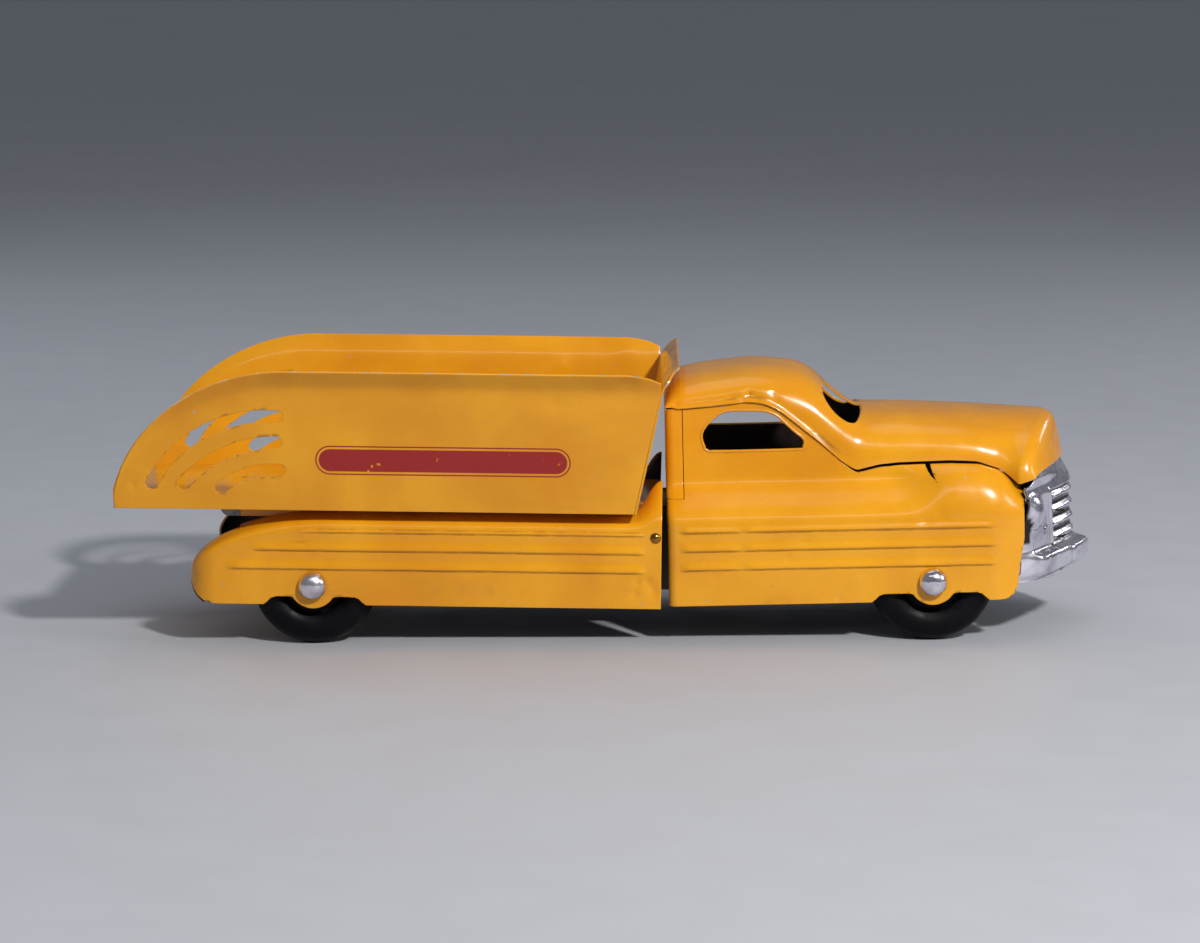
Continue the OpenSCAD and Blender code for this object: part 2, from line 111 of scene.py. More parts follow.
class Nodes:
    """A short way to write a node tree."""

    def __init__(self, name):
        self.material = bpy.data.materials.new(name)
        self.material.use_nodes = True
        self.tree = self.material.node_tree
        self.shader = self.tree.nodes["Principled BSDF"]
        self.where = self.add("ShaderNodeTexCoord").outputs["Object"]

    def add(self, kind, **settings):
        node = self.tree.nodes.new(kind)
        for key, value in settings.items():
            setattr(node, key, value)
        return node

    def join(self, a, b):
        if isinstance(a, (int, float)):
            b.default_value = a
        elif isinstance(a, tuple):
            b.default_value = a if len(a) == len(b.default_value) else (*a, 1)
        else:
            self.tree.links.new(a, b)

    def math(self, operation, a, b=0.0, clamp=False):
        node = self.add("ShaderNodeMath", operation=operation, use_clamp=clamp)
        self.join(a, node.inputs[0])
        self.join(b, node.inputs[1])
        return node.outputs[0]

    def noise(self, scale, detail=2.0, rough=0.5, stretch=None, warp=0.0):
        node = self.add("ShaderNodeTexNoise")
        place = self.where
        if stretch:
            mapping = self.add("ShaderNodeMapping")
            mapping.inputs["Scale"].default_value = stretch
            self.join(place, mapping.inputs["Vector"])
            place = mapping.outputs[0]
        self.join(place, node.inputs["Vector"])
        node.inputs["Scale"].default_value = scale
        node.inputs["Detail"].default_value = detail
        node.inputs["Roughness"].default_value = rough
        node.inputs["Distortion"].default_value = warp
        return node.outputs["Fac"]

    def step(self, value, low, high, to_low=0.0, to_high=1.0):
        """A soft step from to_low at low to to_high at high."""
        node = self.add("ShaderNodeMapRange", interpolation_type="SMOOTHSTEP")
        self.join(value, node.inputs["Value"])
        for key, number in zip(("From Min", "From Max", "To Min", "To Max"),
                               (low, high, to_low, to_high)):
            self.join(number, node.inputs[key])
        return node.outputs["Result"]

    def mix(self, share, a, b):
        node = self.add("ShaderNodeMix", data_type="RGBA")
        self.join(share, node.inputs[0])
        self.join(a, node.inputs[6])
        self.join(b, node.inputs[7])
        return node.outputs[2]

    def bump(self, height, strength, distance, onto=None):
        node = self.add("ShaderNodeBump")
        node.inputs["Strength"].default_value = strength
        node.inputs["Distance"].default_value = distance
        self.join(height, node.inputs["Height"])
        if onto is not None:
            self.join(onto, node.inputs["Normal"])
        return node.outputs["Normal"]

    def attribute(self, name):
        return self.add("ShaderNodeAttribute", attribute_name=name).outputs["Fac"]

    def axis(self, letter):
        node = self.add("ShaderNodeSeparateXYZ")
        self.join(self.where, node.inputs[0])
        return node.outputs[letter]

    def normal_axis(self, letter):
        node = self.add("ShaderNodeSeparateXYZ")
        self.join(self.add("ShaderNodeNewGeometry").outputs["Normal"], node.inputs[0])
        return node.outputs[letter]

    def band(self, value, low, high, soft):
        """1 between low and high, 0 outside, with soft edges."""
        up = self.step(value, low - soft, low + soft)
        down = self.step(value, high - soft, high + soft, 1.0, 0.0)
        return self.math("MULTIPLY", up, down)


def floor_material():
    n = Nodes("pale_floor")
    n.join(n.mix(n.noise(3, 4), (0.43, 0.45, 0.50), (0.48, 0.50, 0.55)),
           n.shader.inputs["Base Color"])
    n.join(n.step(n.noise(40, 3), 0.3, 0.7, 0.55, 0.68), n.shader.inputs["Roughness"])
    n.join(n.bump(n.noise(900, 3), 0.06, 0.0004), n.shader.inputs["Normal"])
    return n.material


def enamel(name, deep=(0.66, 0.255, 0.004), light=(0.80, 0.36, 0.008), marked=False):
    """Glossy orange-yellow enamel over thin steel, chipped and rubbed along its edges, where the
    bare steel is also painted highlight; sharp creases carry painted shade.
    """
    n = Nodes(name)
    cloud = n.noise(18, 5, 0.55, warp=0.4)
    streak = n.noise(55, 4, 0.6, stretch=(0.25, 1.0, 1.6))
    colour = n.mix(n.step(cloud, 0.3, 0.72), (*deep, 1), (*light, 1))
    colour = n.mix(n.step(streak, 0.5, 0.85, 0.0, 0.3), colour, (0.82, 0.38, 0.03, 1))
    # darker in patches towards the bottom
    dark_patches = n.step(n.noise(70, 6, 0.7), 0.52, 0.8, 0.0, 0.35)
    low = n.step(n.axis("Z"), 0.012, 0.030, 1.0, 0.15)
    colour = n.mix(n.math("MULTIPLY", dark_patches, low), colour, (0.25, 0.10, 0.02, 1))
    if marked:
        colour = n.mix(painted_band(n), colour, (0.30, 0.012, 0.010, 1))
    # bare steel on the rims: worn enamel that also stands in as painted highlight along the edges
    rim_wear_and_highlight = n.math("MULTIPLY", n.attribute("rim_wear_and_highlight"), n.step(n.noise(240, 4, 0.6), 0.47, 0.66))
    rim_wear_and_highlight = n.step(rim_wear_and_highlight, 0.35, 0.75)
    chips = n.step(n.noise(420, 2, 0.4), 0.755, 0.775)
    chips = n.math("MULTIPLY", chips, n.step(n.noise(30, 2), 0.5, 0.62))
    bare_and_rim_highlight = n.math("MAXIMUM", rim_wear_and_highlight, chips)
    steel = n.mix(n.noise(300, 2), (0.46, 0.36, 0.24, 1), (0.70, 0.62, 0.50, 1))
    colour = n.mix(bare_and_rim_highlight, colour, steel)
    # painted shade, with some grime, darkens the enamel in sharp creases, under ribs and in dents
    crease_shade = n.math("MULTIPLY", n.attribute("crease"), n.step(n.noise(130, 4, 0.6), 0.34, 0.62))
    colour = n.mix(n.math("MULTIPLY", crease_shade, 0.6), colour, (0.055, 0.018, 0.006, 1))
    n.join(colour, n.shader.inputs["Base Color"])
    n.join(n.math("MULTIPLY", bare_and_rim_highlight, 0.8), n.shader.inputs["Metallic"])
    rough = n.math("ADD", n.step(n.noise(90, 5, 0.65), 0.3, 0.75, 0.17, 0.30),
                   n.math("MULTIPLY", bare_and_rim_highlight, 0.14))
    n.join(rough, n.shader.inputs["Roughness"])
    n.shader.inputs["Coat Weight"].default_value = 0.25
    n.shader.inputs["Specular IOR Level"].default_value = 0.38
    n.shader.inputs["Coat Roughness"].default_value = 0.10
    n.shader.inputs["IOR"].default_value = 1.5
    wavy = n.bump(n.noise(45, 2, 0.4), 0.22, 0.0016)
    peel = n.bump(n.noise(850, 2, 0.5), 0.03, 0.0003, onto=wavy)
    scratched = n.step(n.noise(620, 1, 0.3, stretch=(0.08, 1, 1)), 0.70, 0.74, 0.0, 1.0)
    peel = n.bump(n.math("SUBTRACT", 1.0, n.math("MAXIMUM", scratched, bare_and_rim_highlight)), 0.12, 0.00012,
                  onto=peel)
    n.join(peel, n.shader.inputs["Normal"])
    return n.material


def painted_band(n):
    """A plain dark-red band with rounded ends and rubbed spots on the outside of each bed wall."""
    x = n.math("ADD", n.axis("X"), 0.0577)
    z = n.math("ADD", n.axis("Z"), n.math("MULTIPLY", n.axis("X"), 0.0192))
    z = n.math("SUBTRACT", z, 0.0652)
    past = n.math("MAXIMUM", n.math("SUBTRACT", n.math("ABSOLUTE", x), 0.0392), 0.0)
    reach = n.math("SQRT", n.math("ADD", n.math("MULTIPLY", past, past),
                                  n.math("MULTIPLY", z, z)))
    inside = n.step(reach, 0.0039, 0.00405, 1.0, 0.0)
    line = n.band(reach, 0.0047, 0.0052, 0.00008)
    shape = n.math("MAXIMUM", inside, line)
    outward = n.math("MULTIPLY", n.normal_axis("Y"), n.step(n.axis("Y"), -0.001, 0.001, -1.0, 1.0))
    shape = n.math("MULTIPLY", shape, n.step(outward, 0.3, 0.6))
    rubbed = n.step(n.noise(330, 4, 0.6), 0.66, 0.70, 1.0, 0.0)
    return n.math("MULTIPLY", shape, rubbed)


def shaded_inside():
    """The unpainted inner side of the cab's sheets, coloured near black as painted shade of the
    closed insides.
    """
    n = Nodes("inside_shade")
    rust = n.step(n.noise(60, 6, 0.7), 0.4, 0.75)
    # near-black colours: painted shade of the closed insides, with rust patches
    n.join(n.mix(rust, (0.012, 0.007, 0.005, 1), (0.032, 0.017, 0.009, 1)),
           n.shader.inputs["Base Color"])
    n.join(n.step(n.noise(140, 4), 0.3, 0.7, 0.42, 0.70), n.shader.inputs["Roughness"])
    n.join(0.3, n.shader.inputs["Metallic"])
    n.join(n.bump(n.noise(500, 4), 0.15, 0.0003), n.shader.inputs["Normal"])
    return n.material


def plated(name="nickel", bright=(0.90, 0.87, 0.95), dull=(0.56, 0.51, 0.60)):
    """Bright nickel with tarnish in patches, fine scratches, soft ripples and painted shade in its
    hollows.
    """
    n = Nodes(name)
    tarnish = n.step(n.noise(75, 6, 0.65, warp=0.5), 0.42, 0.72)
    colour = n.mix(tarnish, (*bright, 1), (*dull, 1))
    spots = n.math("MULTIPLY", n.step(n.noise(520, 3), 0.66, 0.72),
                   n.step(n.noise(40, 2), 0.48, 0.6))
    colour = n.mix(spots, colour, (0.16, 0.11, 0.08, 1))
    # painted shade: the grille's hollows turn near black and less metallic
    hollow_shade = n.attribute("crease")
    colour = n.mix(hollow_shade, colour, (0.020, 0.013, 0.016, 1))
    n.join(colour, n.shader.inputs["Base Color"])
    n.join(n.math("SUBTRACT", 1.0, n.math("MULTIPLY", n.math("MAXIMUM", spots, hollow_shade), 0.5)),
           n.shader.inputs["Metallic"])
    n.join(n.step(n.noise(110, 5, 0.6), 0.3, 0.75, 0.12, 0.30), n.shader.inputs["Roughness"])
    ripple = n.bump(n.noise(120, 3, 0.55), 0.35, 0.0011)
    n.join(n.bump(n.noise(900, 3, stretch=(0.3, 1, 1)), 0.08, 0.0002, onto=ripple),
           n.shader.inputs["Normal"])
    return n.material


def bare_steel():
    n = Nodes("bare_steel")
    dark = n.step(n.noise(130, 5, 0.7), 0.4, 0.7)
    n.join(n.mix(dark, (0.26, 0.25, 0.24, 1), (0.09, 0.065, 0.05, 1)),
           n.shader.inputs["Base Color"])
    n.join(n.math("SUBTRACT", 1.0, n.math("MULTIPLY", dark, 0.4)), n.shader.inputs["Metallic"])
    n.join(n.step(n.noise(220, 4), 0.3, 0.7, 0.28, 0.5), n.shader.inputs["Roughness"])
    n.join(n.bump(n.noise(1200, 2, stretch=(1, 0.15, 1)), 0.12, 0.0002),
           n.shader.inputs["Normal"])
    return n.material


def dark_lacquer():
    n = Nodes("dark_lacquer")
    rub = n.step(n.noise(150, 5, 0.7), 0.55, 0.72)
    n.join(n.mix(rub, (0.030, 0.017, 0.012, 1), (0.12, 0.065, 0.035, 1)),
           n.shader.inputs["Base Color"])
    n.join(n.math("MULTIPLY", rub, 0.5), n.shader.inputs["Metallic"])
    n.join(n.step(n.noise(200, 4), 0.3, 0.7, 0.35, 0.6), n.shader.inputs["Roughness"])
    n.join(n.bump(n.noise(700, 3), 0.1, 0.0003), n.shader.inputs["Normal"])
    return n.material


def black_wheel():
    """Smooth moulded black with a little dust."""
    n = Nodes("black_wheel")
    dust = n.step(n.noise(85, 6, 0.7), 0.45, 0.8, 0.0, 0.55)
    n.join(n.mix(dust, (0.0022, 0.0020, 0.0036, 1), (0.010, 0.008, 0.011, 1)),
           n.shader.inputs["Base Color"])
    n.join(n.step(n.noise(160, 5, 0.6), 0.3, 0.75, 0.38, 0.60), n.shader.inputs["Roughness"])
    n.shader.inputs["Specular IOR Level"].default_value = 0.12
    soft = n.bump(n.noise(60, 2), 0.12, 0.0012)
    n.join(n.bump(n.noise(1500, 3), 0.10, 0.00018, onto=soft), n.shader.inputs["Normal"])
    return n.material


# ---- making sheet pieces, in millimetres in the level frame of each half ----

def tilt(x, degrees):
    """A turn about the axle at x."""
    hub = Vector((x, 0, HUB_Z))
    return (Matrix.Translation(hub) @ Matrix.Rotation(math.radians(degrees), 4, "Y")
            @ Matrix.Translation(-hub))


REAR = tilt(REAR_X, 1.1)
CAB = tilt(FRONT_X, -0.9)
LEVEL = Matrix.Identity(4)
UPWARD = Matrix(((1, 0, 0, 0), (0, 0, 1, 0), (0, 1, 0, 0), (0, 0, 0, 1)))
FORWARD = Matrix(((0, 1, 0, 0), (1, 0, 0, 0), (0, 0, 1, 0), (0, 0, 0, 1)))


def smooth(t):
    c = min(1.0, max(0.0, t))
    return c * c * (3 - 2 * c)


def at(x, table, soft=0.0):
    """The table's value at x, averaged over soft either side."""
    xs, ys = zip(*table)
    if not soft:
        return float(np.interp(x, xs, ys))
    return float(np.mean(np.interp(x + soft * np.linspace(-1, 1, 9), xs, ys)))


def spaced(*stops):
    """Stations through (start, step), (start, step), ..., (end,)."""
    values = []
    for here, after in zip(stops, stops[1:]):
        count = max(1, round(abs(after[0] - here[0]) / here[1]))
        values += list(np.linspace(here[0], after[0], count, endpoint=False))
    return values + [stops[-1][0]]


def rounded(points, count):
    """Points on a smooth curve through the given ones, evenly along its length."""
    p = np.array(points, float)
    p = np.vstack([2 * p[0] - p[1], p, 2 * p[-1] - p[-2]])
    fine = []
    for k in range(1, len(p) - 2):
        for t in np.linspace(0, 1, 12, endpoint=False):
            fine.append(0.5 * (2 * p[k] + (p[k + 1] - p[k - 1]) * t
                               + (2 * p[k - 1] - 5 * p[k] + 4 * p[k + 1] - p[k + 2]) * t ** 2
                               + (3 * p[k] - p[k - 1] - 3 * p[k + 1] + p[k + 2]) * t ** 3))
    fine = np.array(fine + [p[-2]])
    along = np.concatenate([[0], np.cumsum(np.linalg.norm(np.diff(fine, axis=0), axis=1))])
    want = np.linspace(0, along[-1], count)
    return np.stack([np.interp(want, along, fine[:, k]) for k in range(p.shape[1])], axis=1)


def normals(g):
    n = np.cross(np.gradient(g, axis=0), np.gradient(g, axis=1))
    return n / np.maximum(np.linalg.norm(n, axis=2, keepdims=True), 1e-9)


def worked(grid, dents=(), wave=0.0, length=22.0, seed=0.0):
    """The grid with dents ((x, y, z), radius, depth) and the sheet's own slight waviness."""
    g = np.array(grid, float)
    n = normals(g)
    push = np.zeros(g.shape[:2])
    for (x, y, z), radius, depth in dents:
        d = np.linalg.norm(g - np.array([x, y, z]), axis=2) / radius
        push -= depth * np.exp(-d ** 2)
    if wave:
        for i in range(g.shape[0]):
            for j in range(g.shape[1]):
                push[i, j] += wave * noise.noise(Vector(g[i, j] / length) + Vector((seed, 0, 7)))
    return g + n * push[:, :, None]


def sheet(name, grid, inside_shade=False):
    """A closed sheet under a grid of points on its outer face."""
    g = np.array(grid, float)
    n, m = g.shape[:2]
    back = g - SHEET * normals(g)
    points = np.concatenate([g.reshape(-1, 3), back.reshape(-1, 3)])
    index = np.arange(n * m).reshape(n, m)
    k = n * m
    a, b = index[:-1, :-1], index[1:, :-1]
    c, d = index[1:, 1:], index[:-1, 1:]
    outer = np.stack([a, b, c, d], axis=-1).reshape(-1, 4)
    inner = np.stack([a, d, c, b], axis=-1).reshape(-1, 4) + k
    rim = []
    for p, q in ((index[1:, 0], index[:-1, 0]), (index[:-1, -1], index[1:, -1]),
                 (index[0, :-1], index[0, 1:]), (index[-1, 1:], index[-1, :-1])):
        rim.append(np.stack([p, q, q + k, p + k], axis=-1))
    faces = np.concatenate([outer, inner, *rim])
    mesh = bpy.data.meshes.new(name)
    mesh.from_pydata(points.tolist(), [], faces.tolist())
    # the inner faces take the near-black inside material, painted shade of the closed insides
    if inside_shade:
        for m in SKINS:
            mesh.materials.append(m)
        marks = np.zeros(len(faces), np.int32)
        marks[len(outer):len(outer) + len(inner)] = 1
        mesh.polygons.foreach_set("material_index", marks)
    mesh.update()
    piece = bpy.data.objects.new(name, mesh)
    bpy.context.scene.collection.objects.link(piece)
    return piece


def solid(name, points, faces):
    mesh = bpy.data.meshes.new(name)
    mesh.from_pydata([tuple(p) for p in points], [], faces)
    mesh.update()
    piece = bpy.data.objects.new(name, mesh)
    bpy.context.scene.collection.objects.link(piece)
    return piece


def prism(outline, low, high, matrix=LEVEL):
    """A closed prism: an outline in x and z pulled along Y from low to high, then placed."""
    area = sum(a[0] * b[1] - b[0] * a[1] for a, b in zip(outline, outline[1:] + outline[:1]))
    if area < 0:
        outline = outline[::-1]
    m = len(outline)
    points = [matrix @ Vector((x, y, z)) for y in (low, high) for x, z in outline]
    sides = [(k, (k + 1) % m, (k + 1) % m + m, k + m) for k in range(m)]
    return solid("cutter", points, [tuple(range(m))[::-1], tuple(range(m, 2 * m)), *sides])


def disc(x, z, r, count=40):
    return [(x + r * math.cos(2 * math.pi * k / count), z + r * math.sin(2 * math.pi * k / count))
            for k in range(count)]


def settle(piece):
    bpy.context.view_layer.update()
    graph = bpy.context.evaluated_depsgraph_get()
    mesh = bpy.data.meshes.new_from_object(piece.evaluated_get(graph))
    old = piece.data
    piece.modifiers.clear()
    piece.data = mesh
    mesh.name = piece.name
    bpy.data.meshes.remove(old)


@contextmanager
def edited(piece):
    bm = bmesh.new()
    bm.from_mesh(piece.data)
    yield bm
    bm.to_mesh(piece.data)
    bm.free()


def outward(piece):
    with edited(piece) as bm:
        bmesh.ops.recalc_face_normals(bm, faces=bm.faces)


def weld(bm, points, edges):
    """Merges points closer than the first distance and dissolves edges shorter than the second."""
    bmesh.ops.remove_doubles(bm, verts=bm.verts, dist=points)
    bmesh.ops.dissolve_degenerate(bm, dist=edges, edges=bm.edges)


def cut(piece, *cutters):
    for c in cutters:
        outward(c)
        m = piece.modifiers.new("cut", "BOOLEAN")
        m.operation = "DIFFERENCE"
        m.solver = "EXACT"
        m.object = c
    settle(piece)
    for c in cutters:
        bpy.data.objects.remove(c)
    with edited(piece) as bm:
        weld(bm, 0.07, 0.01)
    return piece


def join(name, *parts):
    bm = bmesh.new()
    for p in parts:
        bm.from_mesh(p.data)
        bpy.data.objects.remove(p)
    mesh = bpy.data.meshes.new(name)
    bm.to_mesh(mesh)
    bm.free()
    piece = bpy.data.objects.new(name, mesh)
    bpy.context.scene.collection.objects.link(piece)
    return piece


def mirrored_copy(piece, name):
    mesh = piece.data.copy()
    mesh.transform(Matrix.Scale(-1, 4, (0, 1, 0)))
    mesh.flip_normals()
    other = bpy.data.objects.new(name, mesh)
    bpy.context.scene.collection.objects.link(other)
    return other


def scraps(bm):
    """The small groups of faces that a bevel leaves loose, or folded on others, at tight corners."""
    found, seen = [], set()
    for first in bm.faces:
        if first in seen:
            continue
        seen.add(first)
        group, todo = [first], [first]
        while todo:
            for e in todo.pop().edges:
                if len(e.link_faces) != 2:
                    continue
                for f in e.link_faces:
                    if f not in seen:
                        seen.add(f)
                        group.append(f)
                        todo.append(f)
        if len(group) < 120:
            found += group
    return found


def round_edges(piece):
    """Rounds the sheets' rims; the pressed ribs are softer than the angle limit and stay."""
    m = piece.modifiers.new("edges", "BEVEL")
    m.width = 0.2
    m.segments = 2
    m.limit_method = "ANGLE"
    m.angle_limit = math.radians(50)
    m.use_clamp_overlap = False
    settle(piece)
    with edited(piece) as bm:
        weld(bm, 0.004, 0.004)
        for _ in range(3):
            bmesh.ops.delete(bm, geom=scraps(bm), context="FACES")
            loose = [e for e in bm.edges if len(e.link_faces) == 1]
            bmesh.ops.holes_fill(bm, edges=loose, sides=8)


def mark_rims_and_shade(piece, recess_shade):
    """Point attributes: one on the sheets' rims, where the metal behind is deep, for worn enamel
    that also serves as painted highlight, and crease, painted shade in sharp hollows and wherever
    the shade function says so."""
    with edited(piece) as bm:
        bm.normal_update()
        tree = BVHTree.FromBMesh(bm)
        rim_wear_and_highlight = bm.verts.layers.float.new("rim_wear_and_highlight")
        crease = bm.verts.layers.float.new("crease")
        for v in bm.verts:
            depth = tree.ray_cast(v.co - v.normal * 0.02, -v.normal, 2.5)[3]
            v[rim_wear_and_highlight] = 1.0 if depth is None else 0.0
            bends = [e.calc_face_angle_signed(0.0) for e in v.link_edges if len(e.link_faces) == 2]
            # painted shade in sharp hollows, and where the shade function says so
            v[crease] = min(1.0, max(0.0, (-min(bends, default=0.0) - 0.22) / 0.22))
            if recess_shade:
                v[crease] = max(v[crease], recess_shade(v.co))


def finish(piece, place, body, materials, replaces, bevel=True, sharp=34.0, recess_shade=None):
    """Rounds, marks, colours and places a piece made in millimetres, and hangs it on its body."""
    if bevel:
        round_edges(piece)
    mark_rims_and_shade(piece, recess_shade)
    mesh = piece.data
    for k, m in enumerate(materials):
        if k < len(mesh.materials):
            mesh.materials[k] = m
        else:
            mesh.materials.append(m)
    mesh.transform(Matrix.Scale(MM, 4) @ place)
    mesh.polygons.foreach_set("use_smooth", [True] * len(mesh.polygons))
    mesh.set_sharp_from_angle(angle=math.radians(sharp))
    m = piece.modifiers.new("shading", "WEIGHTED_NORMAL")
    m.keep_sharp = True
    m.weight = 60
    settle(piece)
    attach(piece, body)
    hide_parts(*replaces)


# ---- rear half ----

def pressed_line(z):
    """The ribs' profile: it swells slowly from above and returns sharply below."""
    for line in RIBS:
        d = z - line
        if -0.75 < d < 3.2:
            return smooth((d + 0.75) / 0.95) if d < 0.2 else smooth((3.2 - d) / 3.0)
    return 0.0


SKIRT_ROWS = spaced((13.7, 0.6), (15.0, 1.0), (26.8, 0.3), (29.0, 0.8), (33.5, 0.3), (35.6, 0.8),
                    (40.0, 0.3), (42.0,))


def tail(x):
    """How high the rear fender's curve stands at x, from 1 down to 0 at its end."""
    u = min(1.0, max(0.0, (-100 - x) / 48.4))
    return (1 - u ** 1.8) ** (1 / 1.8)


def tail_half(x):
    """The half width of the skirts, which turn in at the tail."""
    u = min(1.0, max(0.0, (-138.4 - x) / 10))
    return SKIRT_HALF - 9 * (1 - math.sqrt(max(0.0, 1 - u * u)))


KICK = ((3, 0), (7, 0.03), (9.6, 0.12), (12, 0.43), (14, 0.74), (16, 0.94), (17.8, 1))
SHOULDER = rounded([(0, 0), (0.3, 1.3), (1.2, 2.5), (3, 3.4), (8, 4.7), (10.5, 5), (12.4, 5.05)], 26)
KICKED = rounded([(0, 0), (0.2, 4), (2, 7.5), (5.5, 11.5), (9, 15), (11.5, 17), (12.4, 17)], 26)
RIB_STARTS = {28.0: -136.0, 34.7: -127.0, 41.3: -113.5}


def fender_row(x):
    """One upright line of the rear side: the ribbed skirt, then the shoulder up to the deck."""
    f, h, kick, crease = tail(x), tail_half(x), at(x, KICK, 0.8), 24.7 + 17.3 * tail(x)
    foot = 13.7 if x > -138.4 else 25 - 10 * math.sqrt(max(0.0, 1 - ((x + 138.4) / 10) ** 2))
    row = []
    for i, z in enumerate(SKIRT_ROWS):
        start = next((RIB_STARTS[line] for line in RIBS if line - 1.5 < z < line + 3.3), 0)
        swell = 0.7 * pressed_line(z) * smooth((x - start) / 6) * smooth((12.5 - x) / 3)
        swell *= smooth((crease - z) / 1.0)
        row.append((x, -h - swell, max(foot, min(z, crease - 0.05 * (len(SKIRT_ROWS) - i)))))
    limit = 34.2 if x > -131 else 38.3
    top = SHOULDER * (1 - kick) + KICKED * kick
    top = np.stack([h - top[:, 0], crease + top[:, 1] * (0.4 + 0.6 * f)], axis=1)
    reach = top[top[:, 0] >= limit]
    if len(reach) < len(top):
        k = len(reach)
        if k:
            share = (top[k - 1, 0] - limit) / (top[k - 1, 0] - top[k, 0])
            reach = np.vstack([reach, top[k - 1] + share * (top[k] - top[k - 1])])
        else:
            reach = top[:1]
    if len(reach) == 1:
        reach = np.vstack([reach, reach + [[-0.01, 0.01]]])
    reach = rounded(reach, 30)[1:]
    return row + [(x, -y, z) for y, z in reach]


def arch(x, back, front):
    """The notch over a wheel, with soft corners and a round lobe left about the axle."""
    lobe = [(x + 8.3 * math.sin(math.radians(a)), HUB_Z - 8.3 * math.cos(math.radians(a)))
            for a in np.linspace(-57, 57, 23)]
    outline = ([(x - 140, 10.0), (x - 140, 15.0), (back - 0.8, 15.0), (back + 0.5, 15.9),
                (back + 1.9, 17.3), (back + 3.6, 17.9), (x - 8.8, 17.9), (x - 7.6, 17.75)]
               + lobe + [(x + 7.6, 17.75), (x + 8.8, 17.9), (front - 3.6, 17.9),
                         (front - 1.9, 17.3), (front - 0.5, 15.9), (front + 0.8, 15.0),
                         (x + 140, 15.0), (x + 140, 10.0)])
    return prism(outline, -60, -30)


def rear_shell(paint, inside):
    xs = ([-100 - 48.3 * math.sin(math.radians(a)) for a in np.linspace(90, 0, 64, endpoint=False)]
          + spaced((-100, 1.6), (3, 0.6), (17.8,)))
    xs = sorted(set(xs + [-131.05, -130.95]))
    dents = [((13.3, -46.5, 24.5), 1.7, 0.55), ((15.3, -46.5, 21.2), 1.9, 0.6),
             ((9.5, -46.5, 24.0), 1.7, 0.45), ((8.5, -46.5, 20.5), 1.6, 0.45),
             ((-108.7, -46.5, 38.0), 1.3, 0.25), ((-47.0, -46.5, 31.5), 6.0, 0.25),
             ((-146.0, -43.0, 24.0), 1.6, 0.3), ((-70.0, -46.5, 20.0), 9.0, 0.3)]
    side = sheet("side", worked([fender_row(x) for x in xs], dents, 0.16, 26.0, 3.0),
                 inside_shade=True)
    side = cut(side, arch(REAR_X, -121, -86.5), prism(disc(REAR_X, HUB_Z, 2.3), -60, -30),
               prism(disc(15.6, 40.2, 1.55, 24), -60, -30))
    other = mirrored_copy(side, "other")
    profile = rounded([(-35, 44.4), (-35, 46.6), (-34.9, 47.6), (-34.4, 48.25), (-33.4, 48.4),
                       (-30, 48.4)], 20)
    profile = np.vstack([profile, [(y, 48.4) for y in spaced((-27, 3.0), (27,))],
                         profile[::-1] * [-1, 1]])
    deck = sheet("deck", worked([[(x, y, z) for y, z in profile]
                                 for x in spaced((-131, 2.0), (17.8,))], (), 0.06, 30.0, 1.0),
                 inside_shade=True)
    deck = cut(deck, *[prism(disc(-125.5, y, 1.0, 20), 40, 55, UPWARD) for y in (-27, 27)])
    piece = join("rear_shell_pressing", side, other, deck)
    finish(piece, REAR, "chassis", [paint, inside], ["rear_shell"])


# ---- cab half ----

SEAM = ((20, 83), (26.8, 82.9), (39.8, 83.8), (48.6, 84.8), (53.9, 84.4), (57.4, 83.2),
        (60.9, 81.4), (67.8, 75.9), (74.7, 70.1), (81.7, 63.5), (87.5, 59.4), (95.4, 61.2),
        (102.4, 61.8), (119.9, 62.1), (130.4, 61.6), (137.4, 59.3), (140.9, 56.8),
        (144.4, 53.5), (146, 52.5))


def seam(x):
    """The height of the line between the cab's sides and the roof and hood."""
    return at(x, SEAM, 0.9)


def body_half(z):
    """The cab's half width at height z, from the skirts over the shoulder to the roof."""
    if z < 44:
        return SKIRT_HALF
    if z < 59:
        return 35 + 11.5 * (1 + math.cos(math.radians(12 * (z - 44)))) / 2
    return 35 - 2.5 * (z - 59) / 24


def cab_side_row(x):
    """One upright line of the cab's side: the ribbed skirt, then the door or fender to the seam."""
    inward = 0 if x < 132 else 5 * ((x - 132) / 13.6) ** 2
    inward += 3 * (1 - math.sqrt(1 - min(1.0, max(0.0, (23.4 - x) / 3)) ** 2))
    row = []
    for z in SKIRT_ROWS[:-1] + spaced((42.0, 0.3), (43.4,)):
        swell = 0.7 * pressed_line(z) * smooth((x - 24) / 4) * smooth((137 - x) / 7)
        swell *= 1 - 0.75 * math.exp(-((x - 46.5) / 2.2) ** 2)
        if z > 41.5:
            swell *= smooth((44.5 - z) / 3)
        row.append((x, inward - SKIRT_HALF - swell, z))
    top, crown = seam(x), smooth((x - 98) / 24)
    for t in np.sin(np.radians(np.linspace(0, 90, 60)[1:])):
        z = 43.4 + t * (top - 43.4)
        half = (1 - crown) * body_half(z) + crown * (35 + 11.5 * (1 - t ** 2.2) ** 0.6)
        row.append((x, inward - half, z))
    return row


WINDOW = [(34.3, 69), (33.1, 72.2), (33.3, 74.7), (34.8, 77.1), (36.9, 79.2), (39.8, 81.2),
          (43.3, 82.1), (53.8, 81.9), (57.3, 81.2), (60.1, 79.8), (62.5, 77.6), (66, 74.3),
          (68.7, 72.1), (69.4, 70.3), (68.7, 68.6), (66.9, 67.9), (36, 67.9)]


